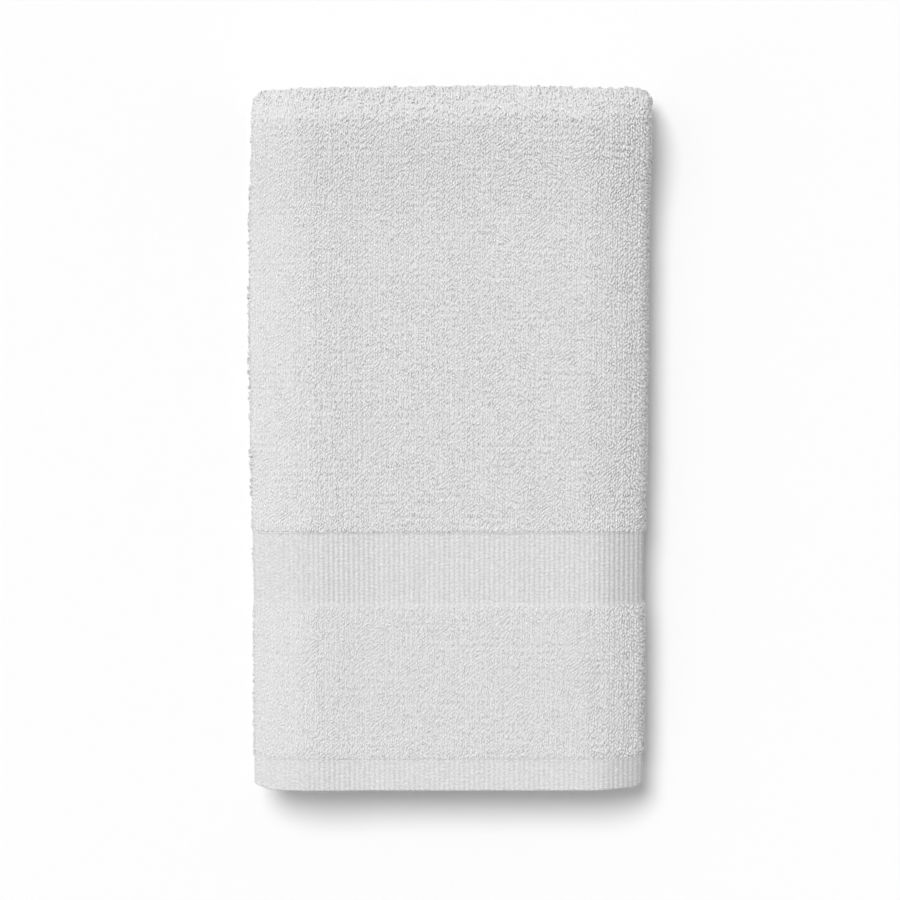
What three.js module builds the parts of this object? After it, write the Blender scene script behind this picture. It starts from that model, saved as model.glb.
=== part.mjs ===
// A terry hand towel, folded in thirds across its width and then in thirds along its length.
// Millimetres, +Z up. It lies flat on z = 0, +Y points to the top fold and -Y to the hem that shows.
import * as THREE from 'three';

// Driving dimensions
const TOWEL_WIDTH = 406; // selvedge to selvedge, 16 in
const TOWEL_LENGTH = 711; // hem to hem, 28 in
const FOLDED_WIDTH = 137.3; // over the two side folds
const FOLDED_LENGTH = 243; // from the top fold to the hem that shows
const PANEL_GAP = 0.5; // air between one folded panel and the next
const FLAP_OVERREACH = 1; // how much longer the outer flap is than half of what the face leaves
const HEM_OVERHANG = 3; // how far the showing hem reaches past the fold below it
const HEM_SLIP = 2.5; // how far the innermost hem of a panel sits back from its outer one
const HEM_ROUND = 0.8; // length of the rounded hem edge
const HEM_EDGE_SHARE = 0.55; // thickness of a hem's very edge, as a share of the hem
const SIDE_TUCK = 1.5; // how far the base sits in from the top face at each side
const BAND_RAMP = 1.4; // length over which the loops rise beside a flat band

// Bands of the cloth, counted from either hem: where each ends, how thick the cloth is there, how far
// its layers lie apart, and how far a panel bridges above what is under it.
const BANDS = [
  { band: 'hem', end: 11.4, thickness: 1.9, gap: 0.5, bridge: 0.9 },
  { band: 'terry', end: 63.9, thickness: 2.5, gap: 0.4, bridge: 0 },
  { band: 'flat border', end: 89.1, thickness: 1.5, gap: 0.8, bridge: 1.2 },
  { band: 'terry', end: TOWEL_LENGTH / 2, thickness: 2.5, gap: 0.4, bridge: 0 },
];
const [HEM, LOWER_TERRY, BORDER, TERRY] = BANDS;

// How the outline strays from a plain rectangle, outwards positive: the side folds at heights up the
// towel, and the top fold and the hem at places across it.
const SIDE_EDGES = [
  { y: -122, left: -0.6, right: -0.7 },
  { y: -65, left: -0.4, right: -0.4 },
  { y: -25, left: 0.1, right: -0.2 },
  { y: 0, left: 0.7, right: 0.4 },
  { y: 38, left: 1.2, right: 0.7 },
  { y: 75, left: 1.0, right: 1.0 },
  { y: 105, left: 0.0, right: 1.6 },
  { y: 122, left: 0.0, right: 1.4 },
];
const END_EDGES = [
  { x: -68.6, top: -1.2, hem: -1.9 },
  { x: -61, top: -0.4, hem: -0.2 },
  { x: -45, top: 0.1, hem: 0 },
  { x: 17, top: 0.8, hem: 0 },
  { x: 50, top: 0.0, hem: 0 },
  { x: 63, top: -0.1, hem: -0.6 },
  { x: 68.6, top: -0.2, hem: -1.8 },
];

// How the top face swells and falls, in millimetres at full height: a low roll up the left that bows at
// its ends, falls that steepen by a power towards both side folds, and a rise to the springy top fold.
// A swell without a power eases at both ends.
const SWELLS = [
  { swell: 'left roll', axis: 'x', from: -22, to: -46, rise: 2.4, bow: -7, power: 0 },
  { swell: 'left fall', axis: 'x', from: -44, to: -70, rise: -6.5, bow: 0, power: 2 },
  { swell: 'right fall', axis: 'x', from: 47, to: 70, rise: -11, bow: 0, power: 2 },
  { swell: 'top rise', axis: 'y', from: 70, to: 113, rise: 5, bow: 0, power: 0 },
];

// How each panel lies beside the top one, to the right positive
const PANEL_SHIFT = { top: 0, bottom: 0.7, inner: -0.6 };

// Where the mesh is cut: shares of the way across the face or a flap, and steps along each stretch
const ACROSS_SHARES = [0, 0.06, 0.12, 0.2, 0.3, 0.44, 0.62, 0.8, 0.88, 0.94, 1];
const FOLD_STEPS = { left: 6, right: 7, top: 10, hem: 8 };
const ALONG_STEPS = { lowerTerry: 3, border: 2, topPanel: 8, bottomPanel: 7, innerPanel: 5 };

const PITCH = TERRY.thickness + TERRY.gap;
const STRIP = 3 * TERRY.thickness + 2 * TERRY.gap; // the towel folded once, three layers thick
const FACE_DEPTH = 2 * PITCH + TERRY.thickness / 2; // inner side of the strip to the middle of its face
const FULL_HEIGHT = 3 * STRIP + 2 * PANEL_GAP;

// First fold, across the width: the inner flap turns in at the left, the outer flap over it at the right.
const LEFT_TURN = -FOLDED_WIDTH / 2 + (PITCH + TERRY.thickness) / 2;
const RIGHT_TURN = FOLDED_WIDTH / 2 - (PITCH + TERRY.thickness / 2);
const FACE = RIGHT_TURN - LEFT_TURN;
const FLAPS = TOWEL_WIDTH - FACE - Math.PI * PITCH * 1.5;
const OUTER_FLAP = FLAPS / 2 + FLAP_OVERREACH;
const INNER_FLAP = FLAPS / 2 - FLAP_OVERREACH;

// Second fold, along the length: the strip's inner side runs from the showing hem over the top panel,
// round the top fold, back along the bottom panel, round the hem fold and along the inner panel.
const BOTTOM_LEVEL = STRIP;
const INNER_LEVEL = BOTTOM_LEVEL + PANEL_GAP;
const TOP_LEVEL = INNER_LEVEL + STRIP + PANEL_GAP;
const TOP_RADIUS = (TOP_LEVEL - BOTTOM_LEVEL) / 2;
const HEM_RADIUS = PANEL_GAP / 2;
const TOP_TURN = FOLDED_LENGTH / 2 - TOP_RADIUS - STRIP;
const HEM_TURN = -FOLDED_LENGTH / 2 + HEM_OVERHANG + HEM_RADIUS + STRIP;
const TOP_PANEL_END = TOP_TURN + FOLDED_LENGTH / 2;
const TOP_FOLD_END = TOP_PANEL_END + Math.PI * (TOP_RADIUS + FACE_DEPTH);
const BOTTOM_PANEL_END = TOP_FOLD_END + TOP_TURN - HEM_TURN;
const HEM_FOLD_END = BOTTOM_PANEL_END + Math.PI * (HEM_RADIUS + FACE_DEPTH);

const { clamp, lerp } = THREE.MathUtils;
const ease = (t) => t * t * (3 - 2 * t);
const share = (value, from, to) => clamp((value - from) / (to - from), 0, 1);
const last = (list) => list[list.length - 1];

// Reads a column of a table between its rows, easing from each row to the next.
function follow(rows, place, column, at) {
  const next = rows.findIndex((row) => row[place] >= at);
  if (next === 0) {
    return rows[0][column];
  }
  if (next < 0) {
    return last(rows)[column];
  }
  const before = rows[next - 1];
  const after = rows[next];
  return lerp(before[column], after[column], ease(share(at, before[place], after[place])));
}

// Thickness, gap and bridge of the cloth at a distance along the towel, and the thinning of a hem's edge.
function clothAt(along) {
  const fromHem = Math.min(along, TOWEL_LENGTH - along);
  const cloth = { thickness: HEM.thickness, gap: HEM.gap, bridge: HEM.bridge };
  for (let k = 1; k < BANDS.length; k++) {
    const start = BANDS[k - 1].end;
    const blend = ease(share(fromHem, start - BAND_RAMP / 2, start + BAND_RAMP / 2));
    for (const key of Object.keys(cloth)) {
      cloth[key] = lerp(cloth[key], BANDS[k][key], blend);
    }
  }
  cloth.edge = lerp(HEM_EDGE_SHARE, 1, share(fromHem, 0, HEM_ROUND));
  return cloth;
}

// Stations across the width: a place (x, depth from the strip's inner side) and an outward normal.
function acrossStations({ thickness, gap }) {
  const pitch = thickness + gap;
  const middle = pitch + thickness / 2;
  const stations = [];
  const lay = (fromX, toX, depth, normal, shares) => {
    for (const part of shares) {
      stations.push({ x: lerp(fromX, toX, part), depth, nx: 0, nd: normal });
    }
  };
  const turn = (x, depth, radius, fromAngle, toAngle, steps) => {
    for (let i = 1; i < steps; i++) {
      const angle = lerp(fromAngle, toAngle, i / steps);
      const nx = Math.cos(angle);
      const nd = Math.sin(angle);
      stations.push({ x: x + radius * nx, depth: depth + radius * nd, nx, nd });
    }
  };
  const backwards = ACROSS_SHARES.map((part) => 1 - part).reverse();
  lay(LEFT_TURN + INNER_FLAP, LEFT_TURN, middle, -1, backwards);
  turn(LEFT_TURN, middle + pitch / 2, pitch / 2, 1.5 * Math.PI, 0.5 * Math.PI, FOLD_STEPS.left);
  lay(LEFT_TURN, RIGHT_TURN, middle + pitch, 1, ACROSS_SHARES);
  turn(RIGHT_TURN, middle, pitch, 0.5 * Math.PI, -0.5 * Math.PI, FOLD_STEPS.right);
  lay(RIGHT_TURN, RIGHT_TURN - OUTER_FLAP, thickness / 2, -1, backwards);
  return stations;
}

// Stations along the length: a pair where the cloth changes, even steps elsewhere.
function alongStations() {
  const stations = [0, HEM_ROUND];
  const stretch = (to, steps) => {
    const from = last(stations);
    for (let i = 1; i <= steps; i++) {
      stations.push(lerp(from, to, i / steps));
    }
  };
  const ramp = (at) => stations.push(at - BAND_RAMP / 2, at + BAND_RAMP / 2);
  ramp(HEM.end);
  stretch(LOWER_TERRY.end - BAND_RAMP, ALONG_STEPS.lowerTerry);
  ramp(LOWER_TERRY.end);
  stretch(BORDER.end - BAND_RAMP, ALONG_STEPS.border);
  ramp(BORDER.end);
  stretch(TOP_PANEL_END, ALONG_STEPS.topPanel);
  stretch(TOP_FOLD_END, FOLD_STEPS.top);
  stretch(BOTTOM_PANEL_END, ALONG_STEPS.bottomPanel);
  stretch(HEM_FOLD_END, FOLD_STEPS.hem);
  stretch(TOWEL_LENGTH - BORDER.end - BAND_RAMP, ALONG_STEPS.innerPanel);
  ramp(TOWEL_LENGTH - BORDER.end);
  stretch(TOWEL_LENGTH - LOWER_TERRY.end - BAND_RAMP, ALONG_STEPS.border);
  ramp(TOWEL_LENGTH - LOWER_TERRY.end);
  stretch(TOWEL_LENGTH - HEM.end - BAND_RAMP, ALONG_STEPS.lowerTerry);
  ramp(TOWEL_LENGTH - HEM.end);
  stations.push(TOWEL_LENGTH - HEM_ROUND, TOWEL_LENGTH);
  return stations;
}

// A place on a fold that turns half round: the strip's inner side, the way its face points, its shift.
function foldPlace(part, centre, radius, way, fromShift, toShift) {
  const ny = way * Math.sin(part * Math.PI);
  const nz = way * Math.cos(part * Math.PI);
  const y = centre + radius * ny;
  const z = BOTTOM_LEVEL + radius * (1 + nz);
  return { y, z, ny, nz, shift: lerp(fromShift, toShift, ease(part)), slip: 0 };
}

// Where the strip's inner side is at a distance along the towel, the way its face points, its shift to
// the right, and how far its inner layers slip back from the hem.
function alongPlace(along) {
  const { top, bottom, inner } = PANEL_SHIFT;
  const { bridge } = clothAt(along);
  if (along <= TOP_PANEL_END) {
    const y = along - FOLDED_LENGTH / 2;
    const slip = HEM_SLIP * (1 - along / TOP_PANEL_END) ** 2;
    return { y, z: TOP_LEVEL + bridge, ny: 0, nz: 1, shift: top, slip };
  }
  if (along <= TOP_FOLD_END) {
    return foldPlace(share(along, TOP_PANEL_END, TOP_FOLD_END), TOP_TURN, TOP_RADIUS, 1, top, bottom);
  }
  if (along <= BOTTOM_PANEL_END) {
    const y = TOP_TURN - (along - TOP_FOLD_END);
    return { y, z: BOTTOM_LEVEL, ny: 0, nz: -1, shift: bottom, slip: 0 };
  }
  if (along <= HEM_FOLD_END) {
    return foldPlace(share(along, BOTTOM_PANEL_END, HEM_FOLD_END), HEM_TURN, HEM_RADIUS, -1, bottom, inner);
  }
  const y = HEM_TURN + along - HEM_FOLD_END;
  const slip = -HEM_SLIP * share(along, HEM_FOLD_END, TOWEL_LENGTH) ** 2;
  return { y, z: INNER_LEVEL + bridge, ny: 0, nz: 1, shift: inner, slip };
}

// The folded towel's uneven outline, and its height where the layers are squeezed or springy.
function settle(x, y, z) {
  const side = follow(SIDE_EDGES, 'y', x < 0 ? 'left' : 'right', y);
  const end = follow(END_EDGES, 'x', y < 0 ? 'hem' : 'top', x);
  const endward = (2 * y) / FOLDED_LENGTH;
  let rise = 0;
  for (const swell of SWELLS) {
    const bow = swell.bow * endward ** 2;
    const part = share(swell.axis === 'x' ? x : y, swell.from + bow, swell.to + bow);
    rise += swell.rise * (swell.power ? part ** swell.power : ease(part));
  }
  const tuck = SIDE_TUCK * (1 - z / FULL_HEIGHT);
  return new THREE.Vector3(
    x * (1 + (2 * (side - tuck)) / FOLDED_WIDTH),
    y * (1 + (2 * end) / FOLDED_LENGTH),
    z * (1 + rise / FULL_HEIGHT),
  );
}

// The points of one face of the cloth, row by row along the towel; side is 1 outside and -1 inside.
function facePoints(side) {
  return alongStations().map((along) => {
    const cloth = clothAt(along);
    const place = alongPlace(along);
    return acrossStations(cloth).map((station) => {
      const offset = (side * cloth.thickness * cloth.edge) / 2;
      const depth = station.depth + station.nd * offset;
      const y = place.y + place.ny * depth + place.slip * (1 - depth / STRIP);
      return settle(station.x + station.nx * offset + place.shift, y, place.z + place.nz * depth);
    });
  });
}

// Closes both faces into one solid with rims along the selvedges and the hems, centred on its base.
function clothGeometry() {
  const faces = [facePoints(1), facePoints(-1)];
  const rows = faces[0].length;
  const columns = faces[0][0].length;
  const at = (face, row, column) => (face * rows + row) * columns + column;
  const index = [];
  const quad = (a, b, c, d) => index.push(a, b, c, a, c, d);
  for (let r = 0; r < rows - 1; r++) {
    for (let c = 0; c < columns - 1; c++) {
      quad(at(0, r, c), at(0, r, c + 1), at(0, r + 1, c + 1), at(0, r + 1, c));
      quad(at(1, r, c), at(1, r + 1, c), at(1, r + 1, c + 1), at(1, r, c + 1));
    }
    const end = columns - 1;
    quad(at(0, r, 0), at(0, r + 1, 0), at(1, r + 1, 0), at(1, r, 0));
    quad(at(0, r, end), at(1, r, end), at(1, r + 1, end), at(0, r + 1, end));
  }
  for (let c = 0; c < columns - 1; c++) {
    const end = rows - 1;
    quad(at(0, 0, c), at(1, 0, c), at(1, 0, c + 1), at(0, 0, c + 1));
    quad(at(0, end, c), at(0, end, c + 1), at(1, end, c + 1), at(1, end, c));
  }
  const geometry = new THREE.BufferGeometry().setFromPoints(faces.flat(2)).setIndex(index);
  geometry.computeBoundingBox();
  const { min, max } = geometry.boundingBox;
  geometry.translate(-(min.x + max.x) / 2, -(min.y + max.y) / 2, -min.z);
  geometry.computeVertexNormals();
  return geometry;
}

const terryCotton = new THREE.MeshStandardMaterial({ color: 0xdedee0, roughness: 0.95, metalness: 0 });
const towel = new THREE.Mesh(clothGeometry(), terryCotton);
towel.name = 'towel';

const foldedTowel = new THREE.Group();
foldedTowel.add(towel);
export default foldedTowel;
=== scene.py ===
# %% [markdown]
# A white terry hand towel, folded in thirds across and then in thirds along, lying hem down the page.
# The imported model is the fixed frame: it gives the size and the place. This lesson weaves the towel
# again on top of it as cloth. There is a ground sheet that follows every fold, flat ribbed bands where
# the real towel has no loops, and many small yarn loops standing on the rest.

# %% Load the frame
import math

import bpy
import numpy as np
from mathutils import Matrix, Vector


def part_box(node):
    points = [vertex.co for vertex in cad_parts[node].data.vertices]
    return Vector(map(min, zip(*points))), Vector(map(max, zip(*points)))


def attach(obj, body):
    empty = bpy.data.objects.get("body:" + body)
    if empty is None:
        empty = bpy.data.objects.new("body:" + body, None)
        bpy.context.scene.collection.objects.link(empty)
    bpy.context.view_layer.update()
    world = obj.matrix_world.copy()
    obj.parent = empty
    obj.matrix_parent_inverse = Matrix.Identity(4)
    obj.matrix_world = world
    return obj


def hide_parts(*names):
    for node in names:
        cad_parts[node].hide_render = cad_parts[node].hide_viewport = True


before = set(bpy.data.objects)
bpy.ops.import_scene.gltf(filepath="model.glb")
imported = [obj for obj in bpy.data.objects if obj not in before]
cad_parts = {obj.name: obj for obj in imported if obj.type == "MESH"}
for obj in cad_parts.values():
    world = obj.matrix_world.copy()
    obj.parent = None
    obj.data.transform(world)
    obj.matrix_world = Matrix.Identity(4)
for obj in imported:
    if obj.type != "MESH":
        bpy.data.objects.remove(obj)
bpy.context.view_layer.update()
towel_low, towel_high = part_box("towel")
print("nodes in the frame", len(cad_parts), "and the towel's box in metres", towel_low, towel_high)

# %% [markdown]
# The sizes below are the towel's own, in millimetres, and are those of the solid. A hand towel is sold
# by its flat size, so that comes first. A flat border and a hem are thinner than the looped cloth beside
# them, so the cloth is a list of bands counted from either hem.

# %% Sizes of the towel
MM = 0.001
TOWEL_WIDTH = 406.0
TOWEL_LENGTH = 711.0
FOLDED_WIDTH = 137.3
FOLDED_LENGTH = 243.0
PANEL_GAP = 0.5
FLAP_OVERREACH = 1.0
HEM_OVERHANG = 3.0
HEM_SLIP = 2.5
SIDE_TUCK = 1.5
BAND_RAMP = 1.4

BAND_ENDS = {"hem": 11.4, "lower_terry": 63.9, "border": 89.1}
# Columns: hem, lower terry, border, upper terry.
BAND_THICKNESS = np.array([1.9, 2.5, 1.5, 2.5])
BAND_GAP = np.array([0.5, 0.4, 0.8, 0.4])
BAND_BRIDGE = np.array([0.9, 0.0, 1.2, 0.0])

TERRY_THICKNESS = BAND_THICKNESS[1]
PITCH = TERRY_THICKNESS + BAND_GAP[1]
STRIP = 3 * TERRY_THICKNESS + 2 * BAND_GAP[1]
FACE_DEPTH = 2 * PITCH + TERRY_THICKNESS / 2
FULL_HEIGHT = 3 * STRIP + 2 * PANEL_GAP
print("cloth", TOWEL_WIDTH, "by", TOWEL_LENGTH, "mm, bundle about", FULL_HEIGHT, "mm high")

# %% [markdown]
# No folded towel is a true rectangle. These short tables say how far each edge strays outwards, and how
# the top face swells over the springy fold and falls towards the sides.

# %% How the bundle settles
SIDE_EDGES = {
    "y": np.array([-122, -65, -25, 0, 38, 75, 105, 122.0]),
    "left": np.array([-0.6, -0.4, 0.1, 0.7, 1.2, 1.0, 0.0, 0.0]),
    "right": np.array([-0.7, -0.4, -0.2, 0.4, 0.7, 1.0, 1.6, 1.4]),
}
END_EDGES = {
    "x": np.array([-68.6, -61, -45, 17, 50, 63, 68.6]),
    "top": np.array([-1.2, -0.4, 0.1, 0.8, 0.0, -0.1, -0.2]),
    "hem": np.array([-1.9, -0.2, 0.0, 0.0, 0.0, -0.6, -1.8]),
}
SWELLS = [
    {"swell": "left roll", "axis": "x", "start": -22, "end": -46, "rise": 2.4, "bow": -7, "power": 0},
    {"swell": "left fall", "axis": "x", "start": -44, "end": -70, "rise": -6.5, "bow": 0, "power": 2},
    {"swell": "right fall", "axis": "x", "start": 47, "end": 70, "rise": -11, "bow": 0, "power": 2},
    {"swell": "top rise", "axis": "y", "start": 70, "end": 113, "rise": 5, "bow": 0, "power": 0},
]
PANEL_SHIFT = {"top": 0.0, "bottom": 0.7, "inner": -0.6}
print("swells", [swell["swell"] for swell in SWELLS], "widest stray", max(SIDE_EDGES["right"]), "mm")

# %% [markdown]
# Reading a table eases from one row to the next, so that no edge gets a kink. The last helper settles a
# point of a neat bundle into the uneven one, by stretching it outwards from the middle and upwards from
# the base.

# %% Helpers that settle a point
def ease(part):
    """A smooth step from 0 to 1: three times the square less twice the cube."""
    return part * part * (3 - 2 * part)


def share(value, start, end):
    """How far value is on the way from start to end, held between 0 and 1."""
    return np.clip((value - start) / (end - start), 0, 1)


def follow(places, values, at):
    """Reads values between their places, easing from each to the next."""
    after = np.clip(np.searchsorted(places, at), 1, len(places) - 1)
    part = ease(share(at, places[after - 1], places[after]))
    return values[after - 1] + (values[after] - values[after - 1]) * part


def settle(x, y, z):
    """Stretches x and y to the uneven outline and z by the swells, so that z = 0 stays flat. The sides
    tuck in evenly from the top face down to the base."""
    left = follow(SIDE_EDGES["y"], SIDE_EDGES["left"], y)
    right = follow(SIDE_EDGES["y"], SIDE_EDGES["right"], y)
    top = follow(END_EDGES["x"], END_EDGES["top"], x)
    hem = follow(END_EDGES["x"], END_EDGES["hem"], x)
    endward = 2 * y / FOLDED_LENGTH
    rise = 0 * x
    for swell in SWELLS:
        bow = swell["bow"] * endward**2
        part = share(x if swell["axis"] == "x" else y, swell["start"] + bow, swell["end"] + bow)
        rise = rise + swell["rise"] * (part ** swell["power"] if swell["power"] else ease(part))
    tuck = SIDE_TUCK * (1 - z / FULL_HEIGHT)
    wide = 1 + 2 * (np.where(x < 0, left, right) - tuck) / FOLDED_WIDTH
    long = 1 + 2 * np.where(y < 0, hem, top) / FOLDED_LENGTH
    return np.stack([x * wide, y * long, z * (1 + rise / FULL_HEIGHT)], axis=-1)


print("a corner of the base settles to", settle(FOLDED_WIDTH / 2, FOLDED_LENGTH / 2, 0).round(1), "mm")

# %% [markdown]
# The fold is one function. It takes a point of the flat cloth, which is how far across, how far along
# and how high above the middle of the cloth, and says where that point ends up in the bundle. The first
# fold turns two flaps in behind the face. The second fold lays the strip over, round the top, back
# underneath and in again. A loop, a rib or a stitch is drawn flat and then carried through the same fold.
# First come the places in the flat cloth where each fold starts and ends.

# %% Where the folds turn
LEFT_TURN = -FOLDED_WIDTH / 2 + (PITCH + TERRY_THICKNESS) / 2
RIGHT_TURN = FOLDED_WIDTH / 2 - (PITCH + TERRY_THICKNESS / 2)
FACE = RIGHT_TURN - LEFT_TURN
FLAPS = TOWEL_WIDTH - FACE - 1.5 * math.pi * PITCH
INNER_FLAP = FLAPS / 2 - FLAP_OVERREACH
LEFT_FOLD_END = INNER_FLAP + 0.5 * math.pi * PITCH
RIGHT_FOLD_START = LEFT_FOLD_END + FACE
RIGHT_FOLD_END = RIGHT_FOLD_START + math.pi * PITCH
ACROSS_STRETCHES = [INNER_FLAP, LEFT_FOLD_END, RIGHT_FOLD_START, RIGHT_FOLD_END]

BOTTOM_LEVEL = STRIP
INNER_LEVEL = BOTTOM_LEVEL + PANEL_GAP
TOP_LEVEL = INNER_LEVEL + STRIP + PANEL_GAP
TOP_RADIUS = (TOP_LEVEL - BOTTOM_LEVEL) / 2
HEM_RADIUS = PANEL_GAP / 2
TOP_TURN = FOLDED_LENGTH / 2 - TOP_RADIUS - STRIP
HEM_TURN = -FOLDED_LENGTH / 2 + HEM_OVERHANG + HEM_RADIUS + STRIP
TOP_PANEL_END = TOP_TURN + FOLDED_LENGTH / 2
TOP_FOLD_END = TOP_PANEL_END + math.pi * (TOP_RADIUS + FACE_DEPTH)
BOTTOM_PANEL_END = TOP_FOLD_END + TOP_TURN - HEM_TURN
HEM_FOLD_END = BOTTOM_PANEL_END + math.pi * (HEM_RADIUS + FACE_DEPTH)
ALONG_STRETCHES = [TOP_PANEL_END, TOP_FOLD_END, BOTTOM_PANEL_END, HEM_FOLD_END]
print("folds across at", np.round(ACROSS_STRETCHES, 1), "and along at", np.round(ALONG_STRETCHES, 1))

# %% [markdown]
# The first fold depends on the thickness of the cloth, which decides how close its layers lie. So the
# thickness is read from the bands before the point is placed.

# %% First fold, across the cloth
def band_value(values, along):
    """A band's value at a distance along the towel, eased over a short ramp at each band's end."""
    from_hem = np.minimum(along, TOWEL_LENGTH - along)
    value = values[0]
    for end, following in zip(BAND_ENDS.values(), values[1:]):
        value = value + (following - value) * ease(share(from_hem, end - BAND_RAMP / 2, end + BAND_RAMP / 2))
    return value


def across_place(across, thickness, gap):
    """First fold: x, depth from the strip's inner side, and the cloth's outward normal in x and depth.
    Flaps and face are straight runs at three depths, joined by half circles of one and two layers."""
    pitch = thickness + gap
    middle = pitch + thickness / 2
    left = math.pi * (1.5 - share(across, INNER_FLAP, LEFT_FOLD_END))
    right = math.pi * (0.5 - share(across, RIGHT_FOLD_START, RIGHT_FOLD_END))
    stretch = np.searchsorted(ACROSS_STRETCHES, across)
    x = np.choose(stretch, [
        LEFT_TURN + INNER_FLAP - across,
        LEFT_TURN + pitch / 2 * np.cos(left),
        LEFT_TURN + across - LEFT_FOLD_END,
        RIGHT_TURN + pitch * np.cos(right),
        RIGHT_TURN + RIGHT_FOLD_END - across,
    ])
    depth = np.choose(stretch, [
        middle,
        middle + pitch / 2 * (1 + np.sin(left)),
        middle + pitch,
        middle + pitch * np.sin(right),
        thickness / 2,
    ])
    normal_x = np.choose(stretch, [0 * left, np.cos(left), 0 * left, np.cos(right), 0 * left])
    normal_depth = np.choose(stretch, [0 * left - 1, np.sin(left), 0 * left + 1, np.sin(right), 0 * left - 1])
    return x, depth, normal_x, normal_depth


selvedge_x = across_place(np.array([0, TOWEL_WIDTH]), TERRY_THICKNESS, BAND_GAP[1])[0]
print("selvedges end at x", selvedge_x.round(1), "mm")

# %% [markdown]
# The second fold carries the whole strip of three layers. Its layers slip a little past each other at the
# hem, and the panels don't lie quite over each other.

# %% Second fold, along the cloth
def along_place(along, bridge):
    """Second fold: y and z of the strip's inner side, the way its face points, its shift and its slip.
    Three straight panels at their levels are joined by two half circles, round the top and at the hem."""
    top_part = share(along, TOP_PANEL_END, TOP_FOLD_END)
    hem_part = share(along, BOTTOM_PANEL_END, HEM_FOLD_END)
    face_y = np.sin(math.pi * top_part) - np.sin(math.pi * hem_part)
    stretch = np.searchsorted(ALONG_STRETCHES, along)
    face_z = np.choose(stretch, [
        0 * along + 1,
        np.cos(math.pi * top_part),
        0 * along - 1,
        -np.cos(math.pi * hem_part),
        0 * along + 1,
    ])
    y = np.choose(stretch, [
        along - FOLDED_LENGTH / 2,
        TOP_TURN + TOP_RADIUS * face_y,
        TOP_TURN + TOP_FOLD_END - along,
        HEM_TURN + HEM_RADIUS * face_y,
        HEM_TURN + along - HEM_FOLD_END,
    ])
    z = np.choose(stretch, [
        TOP_LEVEL + bridge,
        BOTTOM_LEVEL + TOP_RADIUS * (1 + face_z),
        0 * along + BOTTOM_LEVEL,
        BOTTOM_LEVEL + HEM_RADIUS * (1 + face_z),
        INNER_LEVEL + bridge,
    ])
    shift = PANEL_SHIFT["top"] + (PANEL_SHIFT["bottom"] - PANEL_SHIFT["top"]) * ease(top_part)
    shift = shift + (PANEL_SHIFT["inner"] - PANEL_SHIFT["bottom"]) * ease(hem_part)
    top_slip = HEM_SLIP * (1 - share(along, 0, TOP_PANEL_END)) ** 2
    inner_slip = HEM_SLIP * share(along, HEM_FOLD_END, TOWEL_LENGTH) ** 2
    return y, z, face_y, face_z, shift, top_slip - inner_slip


hem_y = along_place(np.array([0, TOWEL_LENGTH]), BAND_BRIDGE[0])[0]
print("hems end at y", hem_y.round(1), "mm")

# %% [markdown]
# The two folds and the settling together make one function, and the bundle is then moved so that its middle
# is the frame's.

# %% Both folds together
def bundle(across, along, height):
    """A point of the flat cloth carried through both folds and settled, in millimetres."""
    thickness = band_value(BAND_THICKNESS, along)
    x, depth, normal_x, normal_depth = across_place(across, thickness, band_value(BAND_GAP, along))
    depth = depth + normal_depth * height
    y, z, face_y, face_z, shift, slip = along_place(along, band_value(BAND_BRIDGE, along))
    y = y + face_y * depth + slip * (1 - depth / STRIP)
    return settle(x + normal_x * height + shift, y, z + face_z * depth)


grid_across, grid_along = np.meshgrid(np.arange(TOWEL_WIDTH + 1), np.arange(TOWEL_LENGTH + 1))
whole = bundle(grid_across, grid_along, band_value(BAND_THICKNESS, grid_along) / 2)
frame_centre = (np.array(towel_low) + np.array(towel_high)) / 2
CENTRE_SHIFT = frame_centre / MM - (whole.min(axis=(0, 1)) + whole.max(axis=(0, 1))) / 2
CENTRE_SHIFT[2] = 0


def fold(across, along, height):
    """The bundle moved to the frame's centre, in metres."""
    return (bundle(across, along, height) + CENTRE_SHIFT) * MM


print("folded cloth spans", np.ptp(whole, axis=(0, 1)).round(1), "mm, moved by", CENTRE_SHIFT.round(2))

# %% [markdown]
# Every piece is a grid of points joined by four-sided faces. One helper fills a mesh from whole arrays,
# keeps the flat cloth's own coordinates as a UV map for the weave, and gives each point a tone, which makes
# one yarn a little whiter than the next and in places carries painted light and shade. It also ties the piece
# to the frame.


def cloth_piece(name, points, quads, weave, tone):
    """Makes a smooth mesh of four-sided faces. weave is the flat cloth's place of each point in metres."""
    mesh = bpy.data.meshes.new(name)
    mesh.vertices.add(len(points))
    mesh.vertices.foreach_set("co", points.astype(np.float32).ravel())
    mesh.loops.add(quads.size)
    mesh.loops.foreach_set("vertex_index", quads.astype(np.int32).ravel())
    mesh.polygons.add(len(quads))
    mesh.polygons.foreach_set("loop_start", np.arange(0, quads.size, quads.shape[1], dtype=np.int32))
    mesh.polygons.foreach_set("use_smooth", np.ones(len(quads), dtype=bool))
    mesh.update(calc_edges=True)
    weave_map = mesh.uv_layers.new(name="weave")
    weave_map.uv.foreach_set("vector", weave[quads.ravel()].astype(np.float32).ravel())
    mesh.attributes.new("tone", "FLOAT", "POINT").data.foreach_set("value", tone.astype(np.float32))
    piece = bpy.data.objects.new(name, mesh)
    bpy.context.scene.collection.objects.link(piece)
    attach(piece, "root")
    print(name, len(points), "points", 2 * len(quads), "triangles")
    return piece


def grid_quads(rows, columns):
    """Corners of the faces of a grid that is stored row by row, turning from columns towards rows."""
    first = (np.arange(rows - 1)[:, None] * columns + np.arange(columns - 1)).ravel()
    return np.stack([first, first + 1, first + columns + 1, first + columns], axis=1)


print("a grid of three by three points has", len(grid_quads(3, 3)), "faces")

# %% [markdown]
# The ground is the plain woven sheet that holds the loops. It could be a flat grid with a thickness
# modifier, but tight folds would pinch it. Here its two faces are computed at their own heights above
# and below the middle of the cloth, then stitched along the selvedges and hems into one closed sheet.
# Its grid is close where the cloth bends or changes thickness, and wide where it lies flat.

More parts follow.
